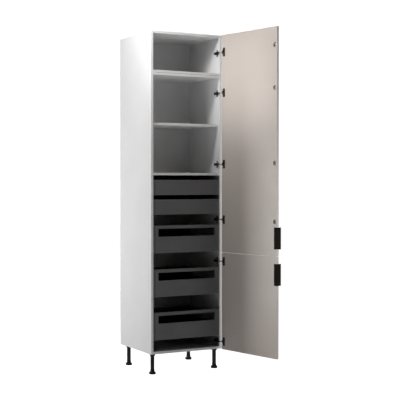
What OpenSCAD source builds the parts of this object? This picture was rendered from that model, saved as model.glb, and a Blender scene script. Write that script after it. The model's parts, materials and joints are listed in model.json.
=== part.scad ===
// Tall pantry cabinet with five inner drawers, two doors on one side and screw-in legs.
// Frame: +X to the right, +Y to the back, +Z up, millimetres.
// The origin lies on the floor, under the middle of the cabinet with its doors open.

/* [Carcass] */
// Width over the side panels
body_w = 600; // [500:50:600]
// Depth of the side panels
body_d = 560; // [540:10:600]
// Height of the side panels, without the legs
body_h = 2400; // [2400:5:2460]
// Thickness of the carcass boards
board = 18; // [16:1:18]
// Thickness of the back panel
back_t = 8; // [4:1:10]
// Distance from the front edge to the face of the back panel
back_y = 490; // [486:1:520]
// Depth of the groove that holds the back panel
groove = 6; // [4:1:9]

/* [Shelves] */
// Underside of the middle deck, above the drawers
deck_z = 1331; // [1325:1:1345]
// Underside of the lower of the two stacked fixed boards
twin_z = 2074; // [2040:2:2100]
// Underside of the adjustable shelf
shelf_z = 1704; // [1640:32:1768]
// Distance that the adjustable shelf stands back from the front edge
shelf_setback = 22; // [10:1:40]

/* [Doors] */
// Angle that the doors stand open
door_open = 102; // [0:1:107]
// Distance that the hinge links carry an open door forward
link_out = 30; // [20:1:32]
// Thickness of the doors
door_t = 18; // [16:1:18]
// Gap between the closed doors and the carcass
door_gap = 3; // [3:0.5:4]
// Underside of the lower door
door_z = 2; // [1:1:4]
// Height of the seam between the two doors
seam_z = 742; // [735:1:760]
// Width of the seam between the two doors
seam = 3; // [2:0.5:6]

/* [Handles] */
// Length of a handle
handle_l = 158; // [120:2:200]
// Distance from a handle to the seam between the doors
handle_inset = 51; // [20:1:80]
// Width of the plate on the inner face of the door
handle_plate = 30; // [24:1:40]
// Distance that the grip stands out from the door
handle_grip = 22; // [12:1:24]
// Sheet thickness of the handle
handle_t = 1.5; // [1.2:0.1:1.5]

/* [Drawers] */
// Height of a shallow drawer front
shallow_h = 113; // [105:1:115]
// Height of a tall drawer front
tall_h = 205; // [200:1:215]
// Thickness of the drawer fronts
front_t = 16; // [12:1:16]
// Depth of a drawer behind its front
drawer_l = 450; // [400:10:450]
// Gap between a drawer front and each side panel
front_gap = 3.5; // [3:0.5:6]

/* [Legs] */
// Height of the legs
leg_h = 155; // [150:5:170]
// Diameter of the leg tube
tube_d = 30; // [28:1:34]
// Diameter of the foot
foot_d = 50; // [46:1:56]

/* [Hidden] */

$fn = 48;
cut = 1;                                  // how far a cutter runs past a face

// Carcass
half_w = body_w / 2;
inner_x = half_w - board;                 // inner face of a side panel
groove_play = 0.2;

// Shelf pins
pin_d = 4.9;
pin_hole_d = 5;
pin_in = 9;                               // length of a shelf pin inside the side panel
pin_out = 8;
pin_rows_y = [60, 440];
hole_pitch = 32;

// Doors, drawn closed and then turned about the hinge pins
door_edge = 1.5;                          // from the side of the carcass to the edge of the door
door_in_y = -door_gap;
door_out_y = -door_gap - door_t;
door_x = half_w - door_edge;
edge_chamfer = 1.5;
hinge_x = door_x - 8.5;                   // axis of the hinge pins
hinge_y = door_in_y - 8.5;
upper_door_z = [seam_z + seam / 2, body_h - 2];
lower_door_z = [door_z, seam_z - seam / 2];
upper_hinge_z = [994, 1416, 1959, 2267];
lower_hinge_z = [61, 676];

// Hinge cups, pins and arms
cup_r = 17.5;
cup_depth = 12.5;
cup_wall = 1;
cup_floor = 0.8;
cup_play = 0.1;
cup_x = hinge_x - 13;                     // centre of a cup in the closed door
spare_cup_x = -door_x + 22.5;             // centre of an unused cup bore at the free edge
flange_t = 1.2;
flange_w = 23;
flange_l = 68;
flange_x = cup_x - 5;
flange_screw = 26;                        // from the middle of the flange to a screw hole
hinge_pin_r = 1.2;
hinge_pin_l = 19.8;
lug_w = 7;                                // width and depth of the lugs that hold the pin
lug_z = [5, 10.5];                        // from the middle of the cup to the ends of a lug
pin_play = 0.05;
eye_r = 2.2;
arm_t = 2;
arm_w = 8;
arm_x = 266;                              // face of the arm that looks into the cabinet
channel_w = 18;
channel_l = 58;
channel_y = 4;
channel_wall = 1.2;
channel_h = 12;
link_play = 0.3;                          // between the link and the web of its channel
link_end_y = 54;                          // rear end of the link with the door closed
bend_y = -4;                              // where the link cranks towards the cup
plate_t = 2;
plate_y = 37;                             // middle of the mounting plate
plate_screw = 16;                         // from the middle of the plate to a fixing screw

// Handles
plate_back_y = door_in_y + handle_t;
grip_y = door_out_y - handle_grip;
grip_return = 5;
handle_screw_x = -half_w + handle_plate - 5;
handle_screw_d = 3.5;
upper_handle_z = upper_door_z[0] + handle_inset;
lower_handle_z = lower_door_z[1] - handle_inset - handle_l;

// Drawers: number 1 is the uppermost
drawer_z = [1183, 1037, 751, 424, 103];
drawer_h = [shallow_h, shallow_h, tall_h, tall_h, tall_h];
front_y = 1;
front_w = 2 * (inner_x - front_gap);
box_y = front_y + front_t;
base_t = 16;
base_up = 16;                             // from the foot of the front to the drawer base
wall_t = 12;
wall_skin = 1.2;                          // sheet thickness of the hollow drawer sides
wall_out = inner_x - 4.5;                 // outer face of a drawer side
wall_in = wall_out - wall_t;
window_w = 479;
window_low = 122;
window_high = 181;
gallery_r = 5;
gallery_x = wall_in - 7.5;
gallery_up = 172;

// Drawer runners
rail_up = 4;                              // from the foot of the front to the cabinet rail
rail_t = 1.5;
rail_w = 20;
rail_h = 36;
rail_lip = 8;
rail_y = box_y + 3;                        // front end of the cabinet rails
slide_w = 14;
slide_h = 8;
slide_gap = 1;

// Legs
leg_x = half_w - 36;
leg_front_y = 55;
leg_rear_y = body_d - 80;
socket_d = 50;
socket_h = 14;
socket_rim = 4;
tube_low = 34;                            // from the floor to the lower end of the tube
spindle_d = 10;
spindle_play = 0.1;
foot_t = 18;
foot_neck = 24;

// Origin: under the middle of the box that holds the cabinet with its doors open
function turned(p, a) = [p[0] * cos(a) - p[1] * sin(a), p[0] * sin(a) + p[1] * cos(a)];
grip_tip = turned([-half_w - hinge_x, grip_y - hinge_y], door_open);
plate_corner = turned([-half_w - hinge_x, plate_back_y - hinge_y], door_open);
box_right = max(half_w, hinge_x + grip_tip[0]);
box_front = min(grip_y, hinge_y - link_out + plate_corner[1]);
origin = [(box_right - half_w) / 2, (box_front + body_d) / 2, -leg_h];

// Colours
white = [0.94, 0.94, 0.93];
back_white = [0.86, 0.86, 0.86];
taupe = [0.74, 0.70, 0.67];
anthracite = [0.22, 0.22, 0.23];
dark_base = [0.16, 0.16, 0.17];
black = [0.07, 0.07, 0.07];
nickel = [0.30, 0.30, 0.31];
zinc = [0.66, 0.67, 0.68];

// ---- Helpers ----

module place() {
    translate(-origin) children();
}

// Carries a door and its fittings from closed to open
module swung() {
    place()
        translate([hinge_x, hinge_y - link_out, 0])
            rotate([0, 0, door_open])
                translate([-hinge_x, -hinge_y, 0])
                    children();
}

// A box from its lowest to its highest corner
module block(low, high) {
    translate(low) cube(high - low);
}

// Draws the children on the right and mirrored on the left
module both_sides() {
    children();
    mirror([1, 0, 0]) children();
}

// Points the children's +Z along -Y, into the inner face of a closed door
module into_door(x, z) {
    translate([x, door_in_y, z]) rotate([90, 0, 0]) children();
}

// ---- Carcass ----

// Inner face on the plane x = 0, panel towards +X
module side_panel() {
    difference() {
        cube([board, body_d, body_h]);
        block([-cut, back_y - groove_play / 2, board],
              [groove, back_y + back_t + groove_play / 2, body_h - board]);
        for (y = pin_rows_y, row = [-1:1])
            translate([-cut, y, shelf_z - pin_d / 2 + row * hole_pitch])
                rotate([0, 90, 0])
                    cylinder(d = pin_hole_d, h = pin_in + 1 + cut);
    }
}

module side_panel_left() {
    color(white) place() translate([-inner_x, 0, 0]) mirror([1, 0, 0]) side_panel();
}

module side_panel_right() {
    color(white) place() translate([inner_x, 0, 0]) side_panel();
}

module fixed_board(z, depth) {
    color(white) place() block([-inner_x, 0, z], [inner_x, depth, z + board]);
}

module back_panel() {
    half = inner_x + groove - groove_play;
    color(back_white) place()
        block([-half, back_y, board], [half, back_y + back_t, body_h - board]);
}

module adjustable_shelf() {
    color(white) place()
        block([1 - inner_x, shelf_setback, shelf_z],
              [inner_x - 1, back_y - board / 2, shelf_z + board]);
}

module shelf_pins() {
    color(zinc) place() both_sides()
        for (y = pin_rows_y)
            translate([inner_x - pin_out, y, shelf_z - pin_d / 2])
                rotate([0, 90, 0])
                    cylinder(d = pin_d, h = pin_out + pin_in);
}

// ---- Legs ----

leg_places = [
    [-leg_x, leg_front_y], [leg_x, leg_front_y],
    [-leg_x, leg_rear_y], [leg_x, leg_rear_y]
];

// Flared collars that are screwed under the carcass
module leg_sockets() {
    wall = 1.5;
    color(black) place()
        for (p = leg_places) translate([p[0], p[1], -socket_h])
            rotate_extrude()
                polygon([
                    [tube_d / 2, 0], [tube_d / 2 + wall, 0],
                    [socket_d / 2, socket_h - socket_rim], [socket_d / 2, socket_h],
                    [tube_d / 2, socket_h]
                ]);
}

module leg_tubes() {
    color(black) place()
        for (p = leg_places) translate([p[0], p[1], tube_low - leg_h])
            difference() {
                cylinder(d = tube_d, h = leg_h - tube_low);
                translate([0, 0, -cut])
                    cylinder(d = spindle_d + 2 * spindle_play, h = leg_h - tube_low - 10 + cut);
            }
}

module foot(p) {
    spindle_top = leg_h - 40;
    color(black) place() translate([p[0], p[1], -leg_h])
        rotate_extrude()
            polygon([
                [0, 0], [foot_d / 2 - 2, 0], [foot_d / 2, 2], [foot_d / 2, foot_t - 5],
                [foot_d / 2 - 4, foot_t - 1], [foot_neck / 2, foot_t],
                [foot_neck / 2, foot_t + 4], [spindle_d / 2, foot_t + 4],
                [spindle_d / 2, spindle_top], [0, spindle_top]
            ]);
}

// ---- Doors ----

module door_panel(low, high, cups, spare_cups) {
    difference() {
        translate([0, 0, low])
            linear_extrude(high - low)
                polygon([
                    [-door_x, door_out_y], [door_x, door_out_y],
                    [door_x, door_in_y - edge_chamfer], [door_x - edge_chamfer, door_in_y],
                    [-door_x, door_in_y]
                ]);
        for (z = cups) into_door(cup_x, z) cup_bore();
        for (z = spare_cups) into_door(spare_cup_x, z) cup_bore();
    }
}

module cup_bore() {
    translate([0, 0, -cut]) cylinder(r = cup_r, h = cup_depth + cut);
}

module upper_door_panel() {
    color(taupe) swung() difference() {
        door_panel(upper_door_z[0], upper_door_z[1], upper_hinge_z, upper_hinge_z);
        handle_screw_holes(upper_handle_z);
    }
}

module lower_door_panel() {
    color(taupe) swung() difference() {
        door_panel(lower_door_z[0], lower_door_z[1], lower_hinge_z, []);
        handle_screw_holes(lower_handle_z);
    }
}

// A bent strip: plate on the inner face, web over the free edge, grip with a small return
module handle_strip(z) {
    translate([0, 0, z])
        linear_extrude(handle_l)
            polygon([
                [-half_w, plate_back_y], [-half_w, grip_y], [grip_return - half_w, grip_y],
                [grip_return - half_w, grip_y + handle_t], [handle_t - half_w, grip_y + handle_t],
                [handle_t - half_w, door_in_y], [handle_plate - half_w, door_in_y],
                [handle_plate - half_w, plate_back_y]
            ]);
}

module at_handle_screws(z) {
    for (end = [20, handle_l - 20]) into_door(handle_screw_x, z + end) children();
}

module handle_screw_holes(z) {
    at_handle_screws(z) translate([0, 0, -cut]) cylinder(d = handle_screw_d, h = 13 + cut);
}

module handle(z) {
    color(black) swung() difference() {
        handle_strip(z);
        at_handle_screws(z)
            translate([0, 0, -handle_t - cut]) cylinder(d = handle_screw_d, h = handle_t + 2 * cut);
    }
}

module handle_screws(z) {
    head_h = 1;
    color(black) swung() at_handle_screws(z) {
        translate([0, 0, -handle_t - head_h]) cylinder(d = 7, h = head_h);
        translate([0, 0, -handle_t]) cylinder(d = handle_screw_d - 0.1, h = 12 + handle_t);
    }
}

// ---- Hinges ----

// Pressed cup with a flange of two ears on the inner face of the door
module cup_shell(z) {
    ear = flange_w / 2;
    ear_z = flange_l / 2 - ear;
    bowl_r = cup_r - cup_play - cup_wall;
    difference() {
        union() {
            into_door(cup_x, z) cylinder(r = cup_r - cup_play, h = cup_depth - cup_play);
            into_door(cup_x, z) translate([0, 0, -flange_t]) cylinder(r = cup_r, h = flange_t);
            into_door(flange_x, z) translate([0, 0, -flange_t]) {
                translate([-ear, -ear_z, 0]) cube([flange_w, 2 * ear_z, flange_t]);
                for (side = [-1, 1]) translate([0, side * ear_z, 0]) cylinder(r = ear, h = flange_t);
            }
        }
        into_door(cup_x, z)
            translate([0, 0, -flange_t - cut])
                cylinder(r = bowl_r, h = flange_t + cut + cup_depth - cup_play - cup_floor);
        into_door(cup_x + bowl_r - 3, z)
            translate([0, -arm_w / 2 - 1, -flange_t - cut]) cube([6, arm_w + 2, flange_t + cut + 3]);
        for (side = [-1, 1])
            into_door(flange_x, z + side * flange_screw)
                translate([0, 0, -flange_t - cut]) cylinder(d = 4.4, h = flange_t + 2 * cut);
    }
}

// The two lugs inside a cup that hold the ends of the hinge pin
module cup_lugs(z) {
    intersection() {
        into_door(cup_x, z) cylinder(r = cup_r - cup_play - cup_wall / 2, h = cup_depth - cup_floor);
        for (side = [0, 1]) translate([0, 0, z]) mirror([0, 0, side])
            block([hinge_x - lug_w / 2, hinge_y - lug_w / 2, lug_z[0]],
                  [hinge_x + lug_w / 2, hinge_y + lug_w / 2, lug_z[1]]);
    }
}

module hinge_cup(z) {
    difference() {
        union() {
            cup_shell(z);
            cup_lugs(z);
        }
        translate([hinge_x, hinge_y, z - hinge_pin_l / 2 - 0.2])
            cylinder(r = hinge_pin_r + pin_play, h = hinge_pin_l + 0.4, $fn = 32);
    }
}

module hinge_cups(rows) {
    color(nickel) swung() for (z = rows) hinge_cup(z);
}

module hinge_pins(rows) {
    color(zinc) swung()
        for (z = rows) translate([hinge_x, hinge_y, z - hinge_pin_l / 2])
            cylinder(r = hinge_pin_r, h = hinge_pin_l, $fn = 32);
}

// Cranked link that slides in the channel of the arm, with the eye that turns on the pin
module hinge_link() {
    near_x = arm_x + arm_t + link_play;
    far_x = near_x + arm_t;
    crank_x = near_x + 5;
    bend = 0.3;
    low_y = hinge_y - arm_t / 2;
    high_y = hinge_y + arm_t / 2;
    difference() {
        linear_extrude(arm_w, center = true) union() {
            polygon([
                [near_x, link_end_y], [near_x, bend_y - bend], [crank_x, low_y],
                [hinge_x, low_y], [hinge_x, high_y], [crank_x + arm_t / 2, high_y],
                [far_x, bend_y + bend], [far_x, link_end_y]
            ]);
            translate([hinge_x, hinge_y]) circle(r = eye_r, $fn = 32);
        }
        translate([hinge_x, hinge_y, -arm_w])
            cylinder(r = hinge_pin_r + 2 * pin_play, h = 2 * arm_w, $fn = 32);
    }
}

module hinge_links(rows) {
    color(nickel) place() translate([0, -link_out, 0])
        for (z = rows) translate([0, 0, z]) hinge_link();
}

// Channel that clips over the mounting plate and guides the link
module hinge_arms() {
    half = channel_w / 2;
    color(nickel) place()
        for (z = concat(lower_hinge_z, upper_hinge_z)) translate([0, 0, z]) difference() {
            block([arm_x, channel_y, -half], [arm_x + channel_h, channel_y + channel_l, half]);
            block([arm_x + arm_t, channel_y - cut, channel_wall - half],
                  [arm_x + channel_h + cut, channel_y + channel_l + cut, half - channel_wall]);
        }
}

// Cross-shaped base on the side panel with the rib that the arm clips over
module hinge_plates() {
    rib = channel_w / 2 - channel_wall - 0.2;
    color(nickel) place()
        for (z = concat(lower_hinge_z, upper_hinge_z)) translate([0, 0, z])
            difference() {
                union() {
                    block([inner_x - plate_t, plate_y - 22, -10], [inner_x, plate_y + 22, 10]);
                    block([inner_x - plate_t, plate_y - 8, -26], [inner_x, plate_y + 8, 26]);
                    block([arm_x + 2 * arm_t + 1, plate_y - 20, -rib],
                          [inner_x - plate_t, plate_y + 20, rib]);
                }
                for (side = [-1, 1])
                    translate([inner_x - plate_t - cut, plate_y, side * plate_screw])
                        rotate([0, 90, 0]) cylinder(d = 4.6, h = plate_t + 2 * cut);
            }
}

module hinge_plate_screws() {
    color(zinc) place()
        for (z = concat(lower_hinge_z, upper_hinge_z), side = [-1, 1])
            translate([inner_x, plate_y, z + side * plate_screw]) rotate([0, -90, 0]) {
                cylinder(d = 4.4, h = plate_t);
                translate([0, 0, plate_t]) cylinder(d = 8, h = 1.6);
            }
}

// ---- Drawers ----

function is_tall(n) = drawer_h[n - 1] > 150;
function side_top(n) = drawer_z[n - 1] + (is_tall(n) ? 106 : 92);
function back_top(n) = drawer_z[n - 1] + (is_tall(n) ? 180 : 92);

module drawer_front(n) {
    z = drawer_z[n - 1];
    color(anthracite) place() difference() {
        block([-front_w / 2, front_y, z], [front_w / 2, box_y, z + drawer_h[n - 1]]);
        if (is_tall(n))
            block([-window_w / 2, front_y - cut, z + window_low],
                  [window_w / 2, box_y + cut, z + window_high]);
    }
}

module drawer_base(n) {
    z = drawer_z[n - 1] + base_up;
    color(dark_base) place()
        block([-wall_in, box_y, z], [wall_in, box_y + drawer_l, z + base_t]);
}

// Both side walls: a sheet box open at the rear, on the foot that runs in its slide
module drawer_sides(n) {
    z = drawer_z[n - 1];
    y_end = box_y + drawer_l;
    foot_low = z + rail_up + rail_t + 2 * slide_gap + rail_t;
    color(anthracite) place() both_sides() {
        difference() {
            block([wall_in, box_y, z + base_up], [wall_out, y_end, side_top(n)]);
            block([wall_in + wall_skin, box_y + wall_skin, z + base_up + wall_skin],
                  [wall_out - wall_skin, y_end + cut, side_top(n) - wall_skin]);
        }
        block([wall_in + 2, box_y, foot_low], [wall_out - 2, y_end, z + base_up]);
    }
}

module drawer_back(n) {
    z = drawer_z[n - 1] + base_up + base_t;
    color(anthracite) place()
        block([-wall_in, box_y + drawer_l - front_t, z], [wall_in, box_y + drawer_l, back_top(n)]);
}

module drawer_gallery(n) {
    color(anthracite) place() both_sides()
        translate([gallery_x, box_y, drawer_z[n - 1] + gallery_up])
            rotate([-90, 0, 0]) cylinder(r = gallery_r, h = drawer_l - front_t);
}

// Middle members of the two runners, trough-shaped, half-way out when the drawer is out
module drawer_slides(n) {
    z = drawer_z[n - 1] + rail_up + rail_t + slide_gap;
    x = inner_x - rail_w + rail_t + slide_gap;
    color(zinc) place() both_sides() difference() {
        block([x, box_y + 2, z], [x + slide_w, box_y + drawer_l - 4, z + slide_h]);
        block([x + rail_t, box_y, z + rail_t],
              [x + slide_w - rail_t, box_y + drawer_l, z + slide_h + cut]);
    }
}

module runner_rail(n) {
    z = drawer_z[n - 1] + rail_up;
    y_end = box_y + drawer_l;
    x = inner_x - rail_w;
    block([x, rail_y, z], [inner_x, y_end, z + rail_t]);
    block([x, rail_y, z + rail_t], [x + rail_t, y_end, z + rail_lip]);
    block([inner_x - rail_t, rail_y, z + rail_t], [inner_x, y_end, z + rail_h]);
}

module runner_rails() {
    color(zinc) place() both_sides() for (n = [1:5]) runner_rail(n);
}

// ---- The cabinet ----

side_panel_left();
side_panel_right();
fixed_board(body_h - board, body_d);  // top_panel
fixed_board(0, body_d);  // bottom_panel
back_panel();
fixed_board(twin_z, back_y);  // twin_board_lower
fixed_board(twin_z + board, back_y);  // twin_board_upper
fixed_board(deck_z, back_y);  // middle_deck
adjustable_shelf();
shelf_pins();
leg_sockets();
leg_tubes();
foot(leg_places[0]);  // foot_front_left
foot(leg_places[1]);  // foot_front_right
foot(leg_places[2]);  // foot_rear_left
foot(leg_places[3]);  // foot_rear_right
hinge_plates();
hinge_arms();
hinge_plate_screws();
runner_rails();
hinge_links(upper_hinge_z);  // upper_hinge_links
hinge_links(lower_hinge_z);  // lower_hinge_links
upper_door_panel();
handle(upper_handle_z);  // upper_handle
handle_screws(upper_handle_z);  // upper_handle_screws
hinge_cups(upper_hinge_z);  // upper_hinge_cups
hinge_pins(upper_hinge_z);  // upper_hinge_pins
lower_door_panel();
handle(lower_handle_z);  // lower_handle
handle_screws(lower_handle_z);  // lower_handle_screws
hinge_cups(lower_hinge_z);  // lower_hinge_cups
hinge_pins(lower_hinge_z);  // lower_hinge_pins
drawer_front(1);  // drawer_1_front
drawer_base(1);  // drawer_1_base
drawer_sides(1);  // drawer_1_sides
drawer_back(1);  // drawer_1_back
drawer_slides(1);  // drawer_1_slides
drawer_front(2);  // drawer_2_front
drawer_base(2);  // drawer_2_base
drawer_sides(2);  // drawer_2_sides
drawer_back(2);  // drawer_2_back
drawer_slides(2);  // drawer_2_slides
drawer_front(3);  // drawer_3_front
drawer_base(3);  // drawer_3_base
drawer_sides(3);  // drawer_3_sides
drawer_back(3);  // drawer_3_back
drawer_slides(3);  // drawer_3_slides
drawer_gallery(3);  // drawer_3_gallery
drawer_front(4);  // drawer_4_front
drawer_base(4);  // drawer_4_base
drawer_sides(4);  // drawer_4_sides
drawer_back(4);  // drawer_4_back
drawer_slides(4);  // drawer_4_slides
drawer_gallery(4);  // drawer_4_gallery
drawer_front(5);  // drawer_5_front
drawer_base(5);  // drawer_5_base
drawer_sides(5);  // drawer_5_sides
drawer_back(5);  // drawer_5_back
drawer_slides(5);  // drawer_5_slides
drawer_gallery(5);  // drawer_5_gallery
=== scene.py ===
"""Looks of the pantry cabinet: finishes, small hardware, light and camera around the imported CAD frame."""
import json
import math

import bmesh
import bpy
from mathutils import Matrix, Vector


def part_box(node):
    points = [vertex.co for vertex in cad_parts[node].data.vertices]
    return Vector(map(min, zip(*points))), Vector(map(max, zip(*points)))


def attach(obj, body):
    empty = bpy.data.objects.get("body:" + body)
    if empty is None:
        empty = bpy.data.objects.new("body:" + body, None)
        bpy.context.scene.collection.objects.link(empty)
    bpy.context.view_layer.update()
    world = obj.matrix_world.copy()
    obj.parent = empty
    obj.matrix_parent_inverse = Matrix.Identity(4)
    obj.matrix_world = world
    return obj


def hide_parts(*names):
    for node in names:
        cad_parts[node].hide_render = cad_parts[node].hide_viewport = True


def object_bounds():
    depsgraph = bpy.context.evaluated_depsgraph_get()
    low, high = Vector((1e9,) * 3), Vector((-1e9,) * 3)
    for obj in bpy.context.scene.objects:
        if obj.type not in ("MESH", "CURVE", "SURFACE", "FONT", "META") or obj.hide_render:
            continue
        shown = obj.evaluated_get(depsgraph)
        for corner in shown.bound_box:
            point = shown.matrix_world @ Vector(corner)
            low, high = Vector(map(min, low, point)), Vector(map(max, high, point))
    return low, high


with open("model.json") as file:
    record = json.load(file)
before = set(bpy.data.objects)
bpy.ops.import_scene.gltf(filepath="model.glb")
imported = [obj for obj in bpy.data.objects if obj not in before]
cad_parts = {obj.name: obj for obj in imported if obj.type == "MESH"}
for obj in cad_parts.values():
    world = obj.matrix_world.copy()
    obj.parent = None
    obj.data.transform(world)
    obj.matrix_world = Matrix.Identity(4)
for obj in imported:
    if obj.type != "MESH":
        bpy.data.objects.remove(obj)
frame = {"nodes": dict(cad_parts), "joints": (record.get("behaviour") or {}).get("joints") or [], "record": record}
CAD_BOUNDS = [list(corner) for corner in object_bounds()]

MM = 0.001

# ---- Places that everything else hangs on, all from the frame ----

LEFT_LOW, LEFT_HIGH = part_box("side_panel_left")
RIGHT_LOW, RIGHT_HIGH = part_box("side_panel_right")
FRONT_Y = LEFT_LOW.y
UNDERSIDE_Z = LEFT_LOW.z
MIDDLE_X = (LEFT_LOW.x + RIGHT_HIGH.x) / 2
INNER_RIGHT_X = RIGHT_LOW.x
INNER_LEFT_X = LEFT_HIGH.x
FOOT_OF_FRONT = Vector((MIDDLE_X, FRONT_Y, UNDERSIDE_Z))
JOINTS = {joint["name"]: joint for joint in frame["joints"]}
DOORS = ("upper", "lower")
DRAWERS = (1, 2, 3, 4, 5)
TALL_DRAWERS = (3, 4, 5)
SHARP_ANGLE = math.radians(35)      # edges that turn more than this are real edges


# ---- Finishes ----

NOISE_ROUGHNESS = 0.55


class Finish:
    """One procedural material on a Principled shader, in the piece's own coordinates."""

    def __init__(self, name, colour, roughness, metallic=0.0, specular=0.5):
        self.material = bpy.data.materials.new(name)
        self.material.use_nodes = True
        self.tree = self.material.node_tree
        self.shader = self.tree.nodes["Principled BSDF"]
        self.shader.inputs["Metallic"].default_value = metallic
        self.shader.inputs["Specular IOR Level"].default_value = specular
        self.colour = colour
        self.roughness = roughness
        self.place = self.add("ShaderNodeTexCoord").outputs["Object"]
        self.colour_socket = None
        self.normal_socket = None

    def add(self, kind, **settings):
        node = self.tree.nodes.new(kind)
        for key, value in settings.items():
            setattr(node, key, value)
        return node

    def wire(self, source, target):
        self.tree.links.new(source, target)

    def stretched(self, x=1.0, y=1.0, z=1.0):
        """The place, scaled along each axis: a small factor draws a pattern out along it."""
        mapping = self.add("ShaderNodeMapping")
        mapping.inputs["Scale"].default_value = (x, y, z)
        self.wire(self.place, mapping.inputs["Vector"])
        return mapping.outputs["Vector"]

    def noise(self, per_metre, detail=3.0, place=None):
        node = self.add("ShaderNodeTexNoise")
        node.inputs["Scale"].default_value = per_metre
        node.inputs["Detail"].default_value = detail
        node.inputs["Roughness"].default_value = NOISE_ROUGHNESS
        self.wire(place or self.place, node.inputs["Vector"])
        return node.outputs["Fac"]

    def between(self, fac, low, high, from_low=0.3, from_high=0.7):
        node = self.add("ShaderNodeMapRange")
        node.inputs["From Min"].default_value = from_low
        node.inputs["From Max"].default_value = from_high
        node.inputs["To Min"].default_value = low
        node.inputs["To Max"].default_value = high
        self.wire(fac, node.inputs["Value"])
        return node.outputs["Result"]

    def tint(self, fac, shade):
        """Mixes shade over the colour so far where fac is 1."""
        mix = self.add("ShaderNodeMix", data_type="RGBA")
        if self.colour_socket is None:
            mix.inputs["A"].default_value = (*self.colour, 1)
        else:
            self.wire(self.colour_socket, mix.inputs["A"])
        mix.inputs["B"].default_value = (*shade, 1)
        self.wire(fac, mix.inputs["Factor"])
        self.colour_socket = mix.outputs["Result"]

    def math(self, operation, a, b):
        node = self.add("ShaderNodeMath", operation=operation)
        for socket, value in zip(node.inputs, (a, b)):
            if isinstance(value, (int, float)):
                socket.default_value = value
            else:
                self.wire(value, socket)
        return node.outputs["Value"]

    def band(self, value, low, high):
        """1 where value lies between low and high, else 0."""
        return self.math(
            "MULTIPLY", self.math("GREATER_THAN", value, low), self.math("LESS_THAN", value, high)
        )

    def axis(self, index):
        node = self.add("ShaderNodeSeparateXYZ")
        self.wire(self.place, node.inputs["Vector"])
        return node.outputs[index]

    def bump(self, height, distance, strength=1.0):
        node = self.add("ShaderNodeBump")
        node.inputs["Distance"].default_value = distance
        node.inputs["Strength"].default_value = strength
        self.wire(height, node.inputs["Height"])
        if self.normal_socket is not None:
            self.wire(self.normal_socket, node.inputs["Normal"])
        self.normal_socket = node.outputs["Normal"]

    def done(self, roughness_spread=0.0, per_metre=40.0):
        """Closes the material: colour, roughness with its variation, and bump."""
        if self.colour_socket is None:
            self.shader.inputs["Base Color"].default_value = (*self.colour, 1)
        else:
            self.wire(self.colour_socket, self.shader.inputs["Base Color"])
        if roughness_spread:
            low, high = self.roughness - roughness_spread, self.roughness + roughness_spread
            rough = self.between(self.noise(per_metre), low, high)
            self.wire(rough, self.shader.inputs["Roughness"])
        else:
            self.shader.inputs["Roughness"].default_value = self.roughness
        if self.normal_socket is not None:
            self.wire(self.normal_socket, self.shader.inputs["Normal"])
        return self.material


def shaded(colour, factor):
    return tuple(channel * factor for channel in colour)


WHITE = (0.82, 0.82, 0.82)
TAUPE = (0.65, 0.58, 0.53)
ANTHRACITE = (0.131, 0.131, 0.133)
BASE_GREY = (0.028, 0.028, 0.029)
PLASTIC_BLACK = (0.022, 0.022, 0.023)
ZINC = (0.62, 0.63, 0.64)
NICKEL_DARK = (0.085, 0.083, 0.08)
HANDLE_BLACK = (0.0065, 0.0054, 0.0047)
SCREW_BLACK = (0.04, 0.04, 0.042)
CAP_GREY = (0.092, 0.087, 0.082)
SCUFF_GREY = (0.05, 0.05, 0.05)


def melamine(name, front_y):
    """White melamine board: pearl texture, and the glue line of its edge band near the front."""
    finish = Finish(name, WHITE, 0.46)
    finish.tint(finish.between(finish.noise(5.0), 0.0, 1.0), shaded(WHITE, 0.965))
    glue = finish.band(finish.axis(1), front_y + 0.9 * MM, front_y + 1.15 * MM)
    finish.tint(finish.math("MULTIPLY", glue, 0.45), shaded(WHITE, 0.55))
    finish.bump(finish.noise(1400.0, detail=2.0), 0.02 * MM, 0.6)
    finish.bump(finish.noise(260.0, detail=1.0), 0.03 * MM, 0.35)
    return finish.done(0.06, 18.0)


def back_board():
    """The thin white board at the back, a little duller than the melamine."""
    finish = Finish("white_back_board", shaded(WHITE, 0.97), 0.52)
    finish.tint(finish.between(finish.noise(7.0), 0.0, 1.0), shaded(WHITE, 0.93))
    finish.bump(finish.noise(900.0, detail=2.0), 0.03 * MM, 0.5)
    return finish.done(0.05, 12.0)


def door_lacquer():
    """Silky grey-beige lacquer with a fine orange peel and a faint cloudiness."""
    finish = Finish("taupe_lacquer", TAUPE, 0.40)
    finish.tint(finish.between(finish.noise(3.0), 0.0, 1.0), shaded(TAUPE, 0.965))
    finish.bump(finish.noise(420.0, detail=2.0), 0.04 * MM, 0.35)
    finish.bump(finish.noise(1800.0, detail=1.0), 0.015 * MM, 0.4)
    return finish.done(0.05, 9.0)


def powder_coat(name, colour, roughness):
    """Fine-textured coating with lighter flecks and a faint cloudiness."""
    finish = Finish(name, colour, roughness)
    flecks = finish.between(finish.noise(2200.0, detail=1.0), 0.0, 1.0, 0.55, 0.75)
    finish.tint(flecks, shaded(colour, 1.35))
    finish.tint(finish.between(finish.noise(4.0), 0.0, 1.0), shaded(colour, 0.93))
    finish.bump(finish.noise(1100.0, detail=2.0), 0.05 * MM, 0.5)
    return finish.done(0.06, 30.0)


def foil_board():
    """Dark foil on the drawer bases and backs, with a faint linen emboss."""
    finish = Finish("drawer_foil", BASE_GREY, 0.55)
    weft = finish.noise(900.0, detail=1.0, place=finish.stretched(0.12, 1.0, 1.0))
    warp = finish.noise(900.0, detail=1.0, place=finish.stretched(1.0, 0.12, 0.12))
    weave = finish.math("ADD", weft, warp)
    finish.tint(finish.between(weave, 0.0, 0.6, 0.8, 1.2), shaded(BASE_GREY, 1.5))
    finish.bump(weave, 0.05 * MM, 0.5)
    return finish.done(0.05, 15.0)


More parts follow.
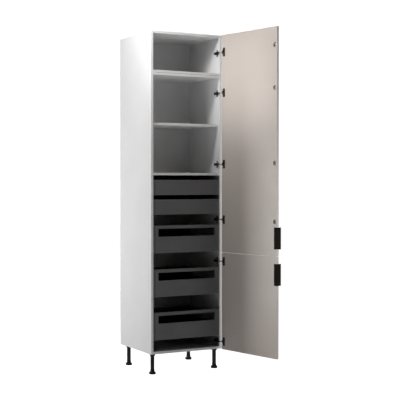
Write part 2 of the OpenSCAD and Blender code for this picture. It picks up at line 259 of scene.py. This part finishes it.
def plated(name, colour, roughness, grain):
    """Plated or rolled steel: fine lines along the rolling direction and mottled gloss."""
    finish = Finish(name, colour, roughness, metallic=1.0)
    lines = finish.noise(900.0, detail=2.0, place=finish.stretched(*grain))
    finish.tint(finish.between(lines, 0.0, 0.7), shaded(colour, 0.72))
    finish.tint(finish.between(finish.noise(35.0), 0.0, 0.5), shaded(colour, 0.8))
    finish.bump(lines, 0.02 * MM, 0.4)
    return finish.done(0.10, 60.0)


def moulded_plastic():
    """Black moulded plastic with spark-eroded grain and dust-grey scuffs."""
    finish = Finish("black_plastic", PLASTIC_BLACK, 0.52, specular=0.2)
    finish.tint(finish.between(finish.noise(70.0, detail=5.0), 0.0, 0.35, 0.55, 0.8), SCUFF_GREY)
    finish.bump(finish.noise(1600.0, detail=2.0), 0.06 * MM, 0.6)
    return finish.done(0.08, 50.0)


def anodised():
    """Black anodised strip, brushed along its length."""
    finish = Finish("black_aluminium", HANDLE_BLACK, 0.62, specular=0.06)
    lines = finish.noise(1500.0, detail=2.0, place=finish.stretched(1.0, 1.0, 0.02))
    finish.tint(finish.between(lines, 0.0, 0.8), shaded(HANDLE_BLACK, 2.0))
    finish.bump(lines, 0.02 * MM, 0.5)
    return finish.done(0.07, 90.0)


def black_screw():
    """Blackened steel, worn unevenly."""
    finish = Finish("screw_black", SCREW_BLACK, 0.34, metallic=0.9)
    finish.tint(finish.between(finish.noise(900.0), 0.0, 0.6), shaded(SCREW_BLACK, 0.6))
    return finish.done(0.1, 400.0)


ROLLED_Y = (1.0, 0.02, 1.0)         # long fine lines along Y
PRESSED_Y = (1.0, 0.1, 1.0)         # shorter ones

FINISHES = {
    "white_melamine": melamine("white_melamine", FRONT_Y),
    "back_board": back_board(),
    "taupe_front": door_lacquer(),
    "drawer_front": powder_coat("anthracite_front", ANTHRACITE, 0.46),
    "drawer_board": foil_board(),
    # drawer sides, wall beads and gallery: the fronts' anthracite darkened to 0.37, painted shade for where they
    # stand inside the cabinet
    "drawer_steel": powder_coat("anthracite_steel", shaded(ANTHRACITE, 0.37), 0.5),
    "zinc_steel": plated("zinc_steel", ZINC, 0.36, ROLLED_Y),
    "hinge_dark": plated("hinge_steel", NICKEL_DARK, 0.38, PRESSED_Y),
    "black_plastic": moulded_plastic(),
    "black_aluminium": anodised(),
    "screw_black": black_screw(),
}
CAP_FINISH = powder_coat("drawer_cap_plastic", CAP_GREY, 0.5)
LINK_FINISH = plated("hinge_link_steel", shaded(ZINC, 0.75), 0.34, PRESSED_Y)
SPECIAL = {                         # nodes whose finish isn't the usual one of their slot
    "adjustable_shelf": melamine("white_melamine_shelf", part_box("adjustable_shelf")[0].y),
    "upper_hinge_links": LINK_FINISH,
    "lower_hinge_links": LINK_FINISH,
}


# ---- CAD nodes: finish and softened edges ----

EDGE_RADIUS = {
    "white_melamine": 0.8 * MM,
    "back_board": 0.4 * MM,
    "taupe_front": 1.0 * MM,
    "drawer_front": 1.2 * MM,
    "drawer_board": 0.6 * MM,
    "drawer_steel": 0.4 * MM,
    "black_aluminium": 0.3 * MM,
    "black_plastic": 0.5 * MM,
    "hinge_dark": 0.25 * MM,
    "zinc_steel": 0.15 * MM,
}
TWIN_BOARDS = ("twin_board_lower", "twin_board_upper")
TWIN_EDGE = 2.2 * MM                # rounder, so that the joint between the two boards shows
WELD_REACH = 0.002 * MM


def round_edges(piece, radius, segments):
    bevel = piece.modifiers.new("soft_edges", "BEVEL")
    bevel.width = radius
    bevel.segments = segments
    bevel.limit_method = "ANGLE"
    bevel.angle_limit = SHARP_ANGLE
    return bevel


def soften(piece, radius):
    """Rounds the sharp edges of a CAD node, whose faces share no vertices until they are welded."""
    weld = piece.modifiers.new("weld", "WELD")
    weld.merge_threshold = WELD_REACH
    round_edges(piece, radius, 3).harden_normals = True


def dress_cad_nodes():
    for part in frame["record"]["subparts"]:
        name, slot = part["node"], part["material_slot"]
        piece = frame["nodes"][name]
        finish = SPECIAL.get(name, FINISHES[slot])
        piece.data.materials.clear()
        piece.data.materials.append(finish)
        if name in TWIN_BOARDS:
            soften(piece, TWIN_EDGE)
        elif slot in EDGE_RADIUS:
            soften(piece, EDGE_RADIUS[slot])


dress_cad_nodes()


# ---- Reading the frame ----

SAME_POINT = 0.001 * MM


def islands(node):
    """(lowest, highest) corner of each separate solid of a CAD node, sorted by height and side."""
    shape = bmesh.new()
    shape.from_mesh(frame["nodes"][node].data)
    bmesh.ops.remove_doubles(shape, verts=shape.verts, dist=SAME_POINT)
    unseen = set(shape.verts)
    boxes = []
    while unseen:
        group, edge = [], [unseen.pop()]
        while edge:
            vert = edge.pop()
            group.append(vert.co)
            for link in vert.link_edges:
                other = link.other_vert(vert)
                if other in unseen:
                    unseen.remove(other)
                    edge.append(other)
        boxes.append(tuple(
            Vector(pick(co[axis] for co in group) for axis in range(3)) for pick in (min, max)
        ))
    shape.free()
    return sorted(boxes, key=lambda box: (round(box[0].z, 4), round(box[0].y, 4), box[0].x))


def middle(box):
    return (box[0] + box[1]) / 2


def half_width(box):
    return (box[1].x - box[0].x) / 2


COUPLED = {c["joint"]: c for c in frame["record"]["behaviour"]["couplings"]}


def door_opening(side):
    """The matrix from the closed door to the door as it stands at rest, and the closed door's pin."""
    swing = JOINTS[side + "_door_swing"]
    angle = -math.radians(swing["range_deg"][0])
    travel = COUPLED[side + "_hinge_travel"]["ratio"] * angle
    pin = Vector(swing["pos_m"])
    closed_pin = pin + Vector((0, travel, 0))
    turn = Matrix.Rotation(angle, 4, "Z")
    return Matrix.Translation(pin) @ turn @ Matrix.Translation(-closed_pin), closed_pin


# ---- Making pieces ----

ON_AXIS = 1e-7


class Maker:
    """Collects shapes into one mesh."""

    def __init__(self):
        self.shape = bmesh.new()

    def keep(self, verts, matrix):
        if matrix is not None:
            bmesh.ops.transform(self.shape, matrix=matrix, verts=verts)

    def block(self, low, high):
        made = bmesh.ops.create_cube(self.shape, size=1)["verts"]
        low, high = Vector(low), Vector(high)
        bmesh.ops.scale(self.shape, vec=high - low, verts=made)
        bmesh.ops.translate(self.shape, vec=(low + high) / 2, verts=made)

    def turned(self, profile, segments=32, matrix=None):
        """Turns (radius, height) points about Z; a radius of 0 closes an end."""
        rings = []
        for radius, height in profile:
            count = 1 if radius < ON_AXIS else segments
            angles = [2 * math.pi * step / segments for step in range(count)]
            rings.append([
                self.shape.verts.new((radius * math.cos(angle), radius * math.sin(angle), height))
                for angle in angles
            ])
        for low, high in zip(rings, rings[1:]):
            for step in range(segments):
                after = (step + 1) % segments
                corners = [low[step % len(low)], low[after % len(low)],
                           high[after % len(high)], high[step % len(high)]]
                unique = list(dict.fromkeys(corners))
                if len(unique) > 2:
                    self.shape.faces.new(unique)
        self.keep([vert for ring in rings for vert in ring], matrix)

    def sheet(self, outline, thickness, matrix=None):
        """An outline of (x, y) points, extruded along Z."""
        floor = [self.shape.verts.new((x, y, 0)) for x, y in outline]
        roof = [self.shape.verts.new((x, y, thickness)) for x, y in outline]
        self.shape.faces.new(floor)
        self.shape.faces.new(roof)
        for step in range(len(outline)):
            after = (step + 1) % len(outline)
            self.shape.faces.new([floor[step], floor[after], roof[after], roof[step]])
        self.keep(floor + roof, matrix)

    def copy(self, mesh, matrix):
        before = set(self.shape.verts)
        self.shape.from_mesh(mesh)
        self.keep([vert for vert in self.shape.verts if vert not in before], matrix)

    def mesh(self, name):
        bmesh.ops.recalc_face_normals(self.shape, faces=self.shape.faces)
        mesh = bpy.data.meshes.new(name)
        self.shape.to_mesh(mesh)
        self.shape.free()
        return mesh


def settle(name, maker, body, slot, finish=None, edge=0.0, place=None):
    """Turns a maker's mesh into a piece that rides on a body."""
    piece = bpy.data.objects.new(name, maker.mesh(name))
    bpy.context.scene.collection.objects.link(piece)
    if place is not None:
        piece.data.transform(place)
    piece.data.materials.append(finish or FINISHES[slot])
    piece.data.shade_smooth()
    piece.data.set_sharp_from_angle(angle=SHARP_ANGLE)
    if edge:
        round_edges(piece, edge, 2)
    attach(piece, body)
    return piece


def facing(direction, place, spin=0.0):
    """Turns a shape's +Z to a direction, spins it about that and puts it in place."""
    turn = Vector(direction).to_track_quat("Z", "Y").to_matrix().to_4x4()
    return Matrix.Translation(place) @ turn @ Matrix.Rotation(math.radians(spin), 4, "Z")


def axes(x_to, y_to, z_to):
    """Turns a shape so that its own X, Y and Z point these ways."""
    return Matrix((x_to, y_to, z_to)).transposed().to_4x4()


def around(radius, points):
    """A profile of (millimetres outside a radius, millimetres up) points."""
    return [(radius + out * MM, up * MM) for out, up in points]


def arc(radius, start, end, steps, centre=(0.0, 0.0)):
    """Points along an arc, in degrees, ends included."""
    turns = [math.radians(start + (end - start) * step / steps) for step in range(steps + 1)]
    return [(centre[0] + radius * math.cos(t), centre[1] + radius * math.sin(t)) for t in turns]


LAND_FALL = 0.55                    # depth of a cross recess, as a share of the head's rise
LAND_REACH = 1.12                   # radius of the flat round the recess, as a share of the cross
SLOT_SHARE = 0.3                    # half width of the recess's arms, as a share of the cross


def screw_head(radius, rise, cross):
    """A raised head with a Pozidriv-like cross recess: four lands stand around a lower cross floor."""
    floor = rise - rise * LAND_FALL
    reach = cross * LAND_REACH
    slot = cross * SLOT_SHARE
    low = math.degrees(math.atan2(slot, math.sqrt(reach ** 2 - slot ** 2)))
    land = [(slot, slot)] + arc(reach, low, 90 - low, 8)
    maker = Maker()
    maker.turned([
        (0.0, 0.0), (radius, 0.0), (radius, rise * 0.45), (radius * 0.9, rise * 0.75),
        (reach, floor), (0.0, floor),
    ])
    for quarter in range(4):
        spin = Matrix.Rotation(math.pi / 2 * quarter, 4, "Z")
        maker.sheet(land, rise * LAND_FALL * 0.9, spin @ Matrix.Translation((0, 0, floor)))
    return maker.mesh("screw_head")


PLATE_SCREW = screw_head(4.0 * MM, 1.7 * MM, 2.3 * MM)
FLANGE_SCREW = screw_head(3.6 * MM, 1.2 * MM, 2.1 * MM)
ADJUSTING_SCREW = screw_head(3.4 * MM, 1.5 * MM, 2.2 * MM)
HANDLE_SCREW = screw_head(4.0 * MM, 1.6 * MM, 2.2 * MM)


# ---- Hinges ----

PIN_TO_FACE = 8.5 * MM              # from the closed door's pin to its inner face
PIN_TO_FLANGE = 18.0 * MM           # from the pin to the middle of the cup's flange
PIN_TO_CUP = 13.0 * MM              # from the pin to the cup's centre
FLANGE_T = 1.2 * MM
FLANGE_SCREW_Z = 26.0 * MM          # above and below the middle of the hinge
CUP_RIM_OUTER = 17.3 * MM
CUP_RIM_INNER = 15.9 * MM
CUP_RIM_RISE = 0.7 * MM
CUP_RIM_GAP_DEG = 30                # to each side of the place where the link comes in
PLATE_HEAD_IN = 1.6 * MM            # from the tip of a plate screw to the foot of its head
ADJUSTING_SHARES = (0.3, 0.78)      # along the arm
RIB_HALF = 2.1 * MM
RIB_RISE = 0.7 * MM
HANDLE_PLATE_T = 1.5 * MM
ARM_FACE_X = islands("hinge_arms")[0][0].x
HINGE_HEIGHTS = {side: [middle(box).z for box in islands(side + "_hinge_links")] for side in DOORS}


def hinge_screws():
    """Screw heads of the plates, the arms and the flanges, and the rims of the cups."""
    heads = Maker()
    for index, box in enumerate(islands("hinge_plate_screws")):
        place = middle(box)
        place.x = box[0].x + PLATE_HEAD_IN
        heads.copy(PLATE_SCREW, facing((-1, 0, 0), place, 20 + 37 * index))
    piece = settle("hinge_plate_screw_heads", heads, "carcass", "zinc_steel")
    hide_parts("hinge_plate_screws")

    adjusting = Maker()
    for index, box in enumerate(islands("hinge_arms")):
        for share in ADJUSTING_SHARES:
            place = Vector((ARM_FACE_X, box[0].y + share * (box[1].y - box[0].y), middle(box).z))
            adjusting.copy(ADJUSTING_SCREW, facing((-1, 0, 0), place, 11 + 53 * index + 90 * share))
    settle("hinge_adjusting_screws", adjusting, "carcass", "hinge_dark")

    for side in DOORS:
        flange_fittings(side)


def flange_fittings(side):
    """The flange screws of one door's hinges, and the bright pressed rim around each cup."""
    opening, pin = door_opening(side)
    flange_y = pin.y + PIN_TO_FACE + FLANGE_T
    fixing = Maker()
    for index, height in enumerate(HINGE_HEIGHTS[side]):
        for sign in (-1, 1):
            place = (pin.x - PIN_TO_FLANGE, flange_y, height + sign * FLANGE_SCREW_Z)
            fixing.copy(FLANGE_SCREW, facing((0, 1, 0), place, 15 + 41 * index + 25 * sign))
    settle(side + "_hinge_flange_screws", fixing, side + "_door", "hinge_dark", place=opening)

    first, last = CUP_RIM_GAP_DEG, 360 - CUP_RIM_GAP_DEG
    outline = arc(CUP_RIM_OUTER, first, last, 40) + arc(CUP_RIM_INNER, last, first, 40)
    out_of_door = axes((1, 0, 0), (0, 0, 1), (0, 1, 0))
    rims = Maker()
    for height in HINGE_HEIGHTS[side]:
        place = Matrix.Translation((pin.x - PIN_TO_CUP, flange_y, height))
        rims.sheet(outline, CUP_RIM_RISE, place @ out_of_door)
    settle(side + "_hinge_cup_rims", rims, side + "_door", "zinc_steel", edge=0.2 * MM, place=opening)


def hinge_covers():
    """The pressed rib along each arm."""
    along_arm = axes((0, 1, 0), (0, 0, -1), (-1, 0, 0))
    ribs = Maker()
    for low, high in islands("hinge_arms"):
        length = high.y - low.y
        front = [(x + 0.42 * length, y) for x, y in arc(RIB_HALF, -90, 90, 8)]
        place = Matrix.Translation((ARM_FACE_X, low.y + 0.44 * length, middle((low, high)).z))
        ribs.sheet(arc(RIB_HALF, 90, 270, 8) + front, RIB_RISE, place @ along_arm)
    settle("hinge_arm_ribs", ribs, "carcass", "hinge_dark", edge=0.25 * MM)


# ---- Handles ----

def handle_screws():
    """Screw heads on the handle plates, which lie on the doors' inner faces."""
    for side in DOORS:
        opening, pin = door_opening(side)
        back = opening.inverted()
        heads = Maker()
        for index, box in enumerate(islands(side + "_handle_screws")):
            centre = back @ middle(box)
            place = (centre.x, pin.y + PIN_TO_FACE + HANDLE_PLATE_T, centre.z)
            heads.copy(HANDLE_SCREW, facing((0, 1, 0), place, 30 + 65 * index))
        piece = settle(side + "_handle_screw_heads", heads, side + "_door", "screw_black", place=opening)
        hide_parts(side + "_handle_screws")


# ---- Legs ----

SKIRT_FALL = 3.5 * MM               # how far a socket's skirt reaches down
SKIRT_STEPS = 6
SKIRT_HOLLOW = 2.6                  # how concave it is
SOCKET_RIB_T = 1.6 * MM
LOBES = 12
LOBE_IN = 1.35 * MM                 # from the disc's edge in to the lobes' axes
SLEEVE_R = 16.5 * MM
SLEEVE_BORE = 15.35 * MM
SPINDLE_ROOM_R = 12.2 * MM


def leg_details():
    """Under each socket, a moulded skirt that narrows on to the tube, with four ribs."""
    collars = Maker()
    for socket, tube in zip(islands("leg_sockets"), islands("leg_tubes")):
        centre = middle(socket)
        bore = half_width(tube)
        rim = half_width(socket)
        place = Matrix.Translation((centre.x, centre.y, socket[0].z))

        inside = bore + 0.15 * MM
        narrow, wide = bore + 0.8 * MM, rim - 2 * MM
        skirt = [(inside, 0.0), (wide, 0.0)]
        for step in range(1, SKIRT_STEPS + 1):
            share = step / SKIRT_STEPS
            skirt.append((narrow + (wide - narrow) * (1 - share) ** SKIRT_HOLLOW, -SKIRT_FALL * share))
        collars.turned(skirt + [(inside, -SKIRT_FALL), (inside, 0.0)], 48, place)

        root, tip = bore + 0.2 * MM, rim - 4 * MM
        rib = [(root, 0), (tip, 0), (tip, -1.2 * MM), (bore + 1.2 * MM, -6 * MM), (root, -6 * MM)]
        stand = Matrix.Translation((0, SOCKET_RIB_T / 2, 0)) @ Matrix.Rotation(math.radians(90), 4, "X")
        for quarter in range(4):
            spin = Matrix.Rotation(math.radians(45 + 90 * quarter), 4, "Z")
            collars.sheet(rib, SOCKET_RIB_T, place @ spin @ stand)
    settle("leg_collars", collars, "carcass", "black_plastic")


def foot_details():
    """On each foot, finger lobes, a raised rim and the sleeve over the lower end of the tube."""
    lobe = around(0.0, [(0, 1.4), (1.5, 1.9), (1.9, 4), (1.5, 6.4), (0, 6.9)])
    sleeve = (
        [(SPINDLE_ROOM_R, 17.9 * MM)]
        + around(SLEEVE_R, [(3, 17.2), (0.6, 18.6), (0, 22), (0, 34.6), (-0.5, 35.2)])
        + [(SLEEVE_BORE, 35.2 * MM), (SLEEVE_BORE, 22.6 * MM)]
        + [(SPINDLE_ROOM_R, 22.6 * MM), (SPINDLE_ROOM_R, 17.9 * MM)]
    )
    for joint in frame["joints"]:
        if not joint["child"].startswith("levelling_foot_"):
            continue
        node = joint["child"].replace("levelling_", "")
        low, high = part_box(node)
        centre = middle((low, high))
        radius = half_width((low, high))
        on_foot = Matrix.Translation((centre.x, centre.y, low.z))
        grips = Maker()
        for step in range(LOBES):
            spin = Matrix.Rotation(2 * math.pi * step / LOBES, 4, "Z")
            grips.turned(lobe, 12, on_foot @ spin @ Matrix.Translation((radius - LOBE_IN, 0, 0)))
        rim = around(radius, [
            (-0.3, 2), (0.5, 2.6), (0.6, 12), (0.5, 15.6),
            (-0.6, 17), (-3, 17.4), (-3.2, 16), (-0.3, 12.6), (-0.3, 2),
        ])
        grips.turned(rim, 64, on_foot)
        grips.turned(sleeve, 64, on_foot)
        settle(node + "_grip", grips, joint["child"], "black_plastic")


# ---- Drawers ----

CAP_W = 15 * MM
CAP_T = 0.6 * MM
CAP_SHORT = 0.4 * MM                # at the top and the bottom of the front
WALL_MIN_H = 20 * MM                # lower parts of a drawer side are its foot blocks
BEAD_SHARES = (0.34, 0.86)          # up the wall
BEAD_SHORT = 7 * MM                 # at each end
COVER_HALF = 5 * MM
COVER_REACH = 9 * MM
COVER_T = 0.9 * MM


def drawer_details():
    for number in DRAWERS:
        body = f"drawer_{number}"
        low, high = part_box(f"drawer_{number}_front")
        foot, head = low.z + CAP_SHORT, high.z - CAP_SHORT
        caps = Maker()
        for sign, edge_x in ((-1, low.x), (1, high.x)):
            outer_x = edge_x + sign * CAP_T
            a, b = sorted((outer_x, edge_x - sign * CAP_W))
            caps.block((a, low.y - CAP_T, foot), (b, low.y + 0.1 * MM, head))
            a, b = sorted((edge_x, outer_x))
            caps.block((a, low.y - CAP_T, foot), (b, high.y, head))
        settle(
            f"drawer_{number}_front_caps", caps, body, "black_plastic",
            finish=CAP_FINISH, edge=0.22 * MM,
        )
        wall_trim(number, body)
        if number in TALL_DRAWERS:
            gallery_fittings(number, body)


def wall_trim(number, body):
    """Rolled beads along both side walls, and the cover cap over the front fixing."""
    bead = (
        [(-0.05 * MM, -1.4 * MM)]
        + arc(1.1 * MM, -75, 75, 6, (-0.35 * MM, 0))
        + [(-0.05 * MM, 1.4 * MM)]
    )
    oval = (
        arc(COVER_HALF, 90, 270, 8, (-COVER_REACH, 0))
        + arc(COVER_HALF, -90, 90, 8, (COVER_REACH, 0))
    )
    trim = Maker()
    covers = Maker()
    for low, high in islands(f"drawer_{number}_sides"):
        tall = high.z - low.z
        if tall < WALL_MIN_H:
            continue
        side = 1 if middle((low, high)).x > MIDDLE_X else -1
        inner = low.x if side > 0 else high.x
        length = high.y - low.y
        for share in BEAD_SHARES:
            place = Matrix.Translation((inner, low.y + BEAD_SHORT, low.z + share * tall))
            trim.sheet(bead, length - 2 * BEAD_SHORT, place @ axes((-side, 0, 0), (0, 0, 1), (0, 1, 0)))
        place = Matrix.Translation((inner, low.y + 30 * MM, low.z + 0.6 * tall))
        covers.sheet(oval, COVER_T, place @ axes((0, 1, 0), (0, 0, 1), (-side, 0, 0)))
    settle(f"drawer_{number}_wall_beads", trim, body, "drawer_steel")
    settle(f"drawer_{number}_wall_covers", covers, body, "black_plastic", edge=0.3 * MM)


def gallery_fittings(number, body):
    """Sockets that hold the ends of the gallery rods to the front and the back."""
    fittings = Maker()
    for low, high in islands(f"drawer_{number}_gallery"):
        centre = middle((low, high))
        socket = around(half_width((low, high)), [
            (0, 0), (3, 0), (3, 1.6), (2.2, 2.4), (1.5, 9), (0.9, 10.5), (0, 11), (0, 0),
        ])
        for end_y, direction in ((low.y, 1), (high.y, -1)):
            fittings.turned(socket, 32, facing((0, direction, 0), (centre.x, end_y, centre.z)))
    settle(f"drawer_{number}_gallery_sockets", fittings, body, "black_plastic")


# ---- Twin boards and shelf pins ----

SEAM_DEPTH = 0.45 * MM              # of the seam's rounded front, behind the boards' front
SEAM_HALF = 0.85 * MM
SEAM_REACH = 3 * MM


def board_seam():
    """A near-black strip in the groove between the two stacked boards: painted shadow of the gap between them."""
    low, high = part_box("twin_board_lower")
    front = arc(SEAM_HALF, 90, 270, 10, (SEAM_DEPTH + SEAM_HALF, 0))
    joint = Maker()
    joint.sheet(
        front + [(SEAM_REACH, -SEAM_HALF), (SEAM_REACH, SEAM_HALF)], high.x - low.x,
        Matrix.Translation((low.x, low.y, high.z)) @ axes((0, 1, 0), (0, 0, 1), (1, 0, 0)),
    )
    # the strip takes the near-black plastic finish as painted shadow in the seam
    settle("twin_board_seam", joint, "carcass", "black_plastic")


def shelf_pin_collars():
    collars = Maker()
    for low, high in islands("shelf_pins"):
        centre = middle((low, high))
        side = 1 if centre.x > MIDDLE_X else -1
        wall = INNER_RIGHT_X if side > 0 else INNER_LEFT_X
        collar = around((high.z - low.z) / 2, [(0, 0), (1.5, 0), (1.5, 0.7), (1.0, 1.2), (0, 1.3), (0, 0)])
        collars.turned(collar, 24, facing((-side, 0, 0), (wall, centre.y, centre.z)))
    settle("shelf_pin_collars", collars, "carcass", "zinc_steel")


hinge_screws()
hinge_covers()
handle_screws()
leg_details()
foot_details()
drawer_details()
board_seam()
shelf_pin_collars()


# ---- Stage, light and camera ----

STAGE_RADIUS = 25.0
STAGE_CURVE = 8.0
STAGE_HEIGHT = 30.0
STAGE_GAP = 0.2 * MM                # under the feet
CURVE_STEPS = 8
STAGE_SEGMENTS = 64
PAPER = (0.9, 0.9, 0.9)
PAPER_SHADE = (0.88, 0.88, 0.88)


def stage_finish():
    finish = Finish("studio_paper", PAPER, 0.8)
    finish.shader.inputs["Emission Color"].default_value = (1, 1, 1, 1)
    finish.shader.inputs["Emission Strength"].default_value = 1.0
    finish.tint(finish.between(finish.noise(1.5), 0.0, 1.0), PAPER_SHADE)
    return finish.done()


def make_stage():
    """A white paper sweep: flat floor that curves up into a wall and a dome, seen but casting no light."""
    flat = STAGE_RADIUS - STAGE_CURVE
    rise = STAGE_HEIGHT - STAGE_CURVE
    angles = [math.pi / 2 * step / CURVE_STEPS for step in range(1, CURVE_STEPS + 1)]
    sweep = Maker()
    sweep.turned(
        [(0.0, 0.0), (flat / 3, 0.0), (flat, 0.0)]
        + [(flat + STAGE_CURVE * math.sin(angle), STAGE_CURVE * (1 - math.cos(angle))) for angle in angles]
        + [(STAGE_RADIUS * math.cos(angle), STAGE_CURVE + rise * math.sin(angle)) for angle in angles],
        STAGE_SEGMENTS,
    )
    stage = bpy.data.objects.new("studio_sweep", sweep.mesh("studio_sweep"))
    bpy.context.scene.collection.objects.link(stage)
    stage.location = (0, 0, CAD_BOUNDS[0][2] - STAGE_GAP)
    stage.data.shade_smooth()
    stage.data.materials.append(stage_finish())
    for ray in ("diffuse", "glossy", "transmission", "shadow"):
        setattr(stage, "visible_" + ray, False)


def aim(thing, target):
    thing.rotation_euler = (Vector(target) - thing.location).to_track_quat("-Z", "Y").to_euler()


def place_light(name, data, place):
    """Places and targets of lights are metres from the foot of the cabinet's front."""
    light = bpy.data.objects.new(name, data)
    bpy.context.scene.collection.objects.link(light)
    light.location = FOOT_OF_FRONT + Vector(place)
    light.visible_camera = False
    return light


def softbox(name, place, target, side, watts):
    data = bpy.data.lights.new(name, "AREA")
    data.shape = "SQUARE"
    data.size = side
    data.energy = watts
    aim(place_light(name, data, place), FOOT_OF_FRONT + Vector(target))


def soft_bulb(name, place, radius, watts):
    data = bpy.data.lights.new(name, "POINT")
    data.shadow_soft_size = radius
    data.energy = watts
    place_light(name, data, place)


def soft_beam(name, place, target, radius, spread_deg, watts):
    data = bpy.data.lights.new(name, "SPOT")
    data.spot_size = math.radians(spread_deg)
    data.spot_blend = 1.0
    data.shadow_soft_size = radius
    data.energy = watts
    aim(place_light(name, data, place), FOOT_OF_FRONT + Vector(target))


FLOOR_LIGHT = 0.73
DARK_FROM_Z = -0.12                 # height of a direction of length 1: no light comes from above this
BRIGHT_BELOW_Z = -0.6               # and all of it from below this


def light_world():
    """Soft light off a pale floor: bright from below, fading out towards the horizon."""
    world = bpy.data.worlds.new("studio")
    bpy.context.scene.world = world
    world.use_nodes = True
    tree = world.node_tree
    background = tree.nodes["Background"]
    direction = tree.nodes.new("ShaderNodeTexCoord")
    split = tree.nodes.new("ShaderNodeSeparateXYZ")
    fade = tree.nodes.new("ShaderNodeMapRange")
    fade.interpolation_type = "SMOOTHSTEP"
    fade.inputs["From Min"].default_value = DARK_FROM_Z
    fade.inputs["From Max"].default_value = BRIGHT_BELOW_Z
    tree.links.new(direction.outputs["Generated"], split.inputs["Vector"])
    tree.links.new(split.outputs["Z"], fade.inputs["Value"])
    tree.links.new(fade.outputs["Result"], background.inputs["Color"])
    background.inputs["Strength"].default_value = FLOOR_LIGHT


def light_studio():
    soft_bulb("key", (-0.9, -0.3, 2.7), 0.12, 38.0)
    soft_bulb("upper_fill", (-0.1, -0.3, 1.9), 0.12, 0.25)
    soft_bulb("top_fill", (-0.1, -0.3, 2.7), 0.12, 1.3)
    softbox("front_low", (1.5, -3.0, 0.3), (0.1, 0, 0.3), 1.0, 4.0)
    softbox("door_edge", (3.0, -2.6, 0.9), (0.41, -0.6, 0.9), 1.0, 36.0)
    softbox("front_high", (1.5, -3.0, 3.2), (0.1, 0, 2.2), 1.0, 5.5)
    softbox("left_low", (-2.2, 1.2, 0.4), (-0.3, 0.28, 0.4), 0.8, 19.5)
    softbox("left_middle", (-2.2, 1.2, 1.4), (-0.3, 0.28, 1.4), 0.8, 16.0)
    # this one passes in front of the carcass on to the upper door
    soft_beam("door_glow", (-2.5, -0.95, 2.06), (0.34, -0.26, 2.0), 0.15, 20, 116.0)
    light_world()


CAMERA_PLACE = Vector((-3.5006, -6.6697, 1.2742))   # from the foot of the cabinet's front
CAMERA_YAW = math.radians(28.435)
CAMERA_PITCH = math.radians(-0.984)
CAMERA_LENS_MM = 90
CAMERA_SENSOR_MM = 36
CAMERA_REACH = 100


def set_camera():
    data = bpy.data.cameras.new("camera")
    data.lens = CAMERA_LENS_MM
    data.sensor_width = CAMERA_SENSOR_MM
    data.clip_end = CAMERA_REACH
    camera = bpy.data.objects.new("camera", data)
    bpy.context.scene.collection.objects.link(camera)
    camera.location = FOOT_OF_FRONT + CAMERA_PLACE
    camera.rotation_euler = (math.pi / 2 + CAMERA_PITCH, 0, -CAMERA_YAW)
    bpy.context.scene.camera = camera


make_stage()
light_studio()
set_camera()
bpy.context.scene.view_settings.view_transform = "Standard"
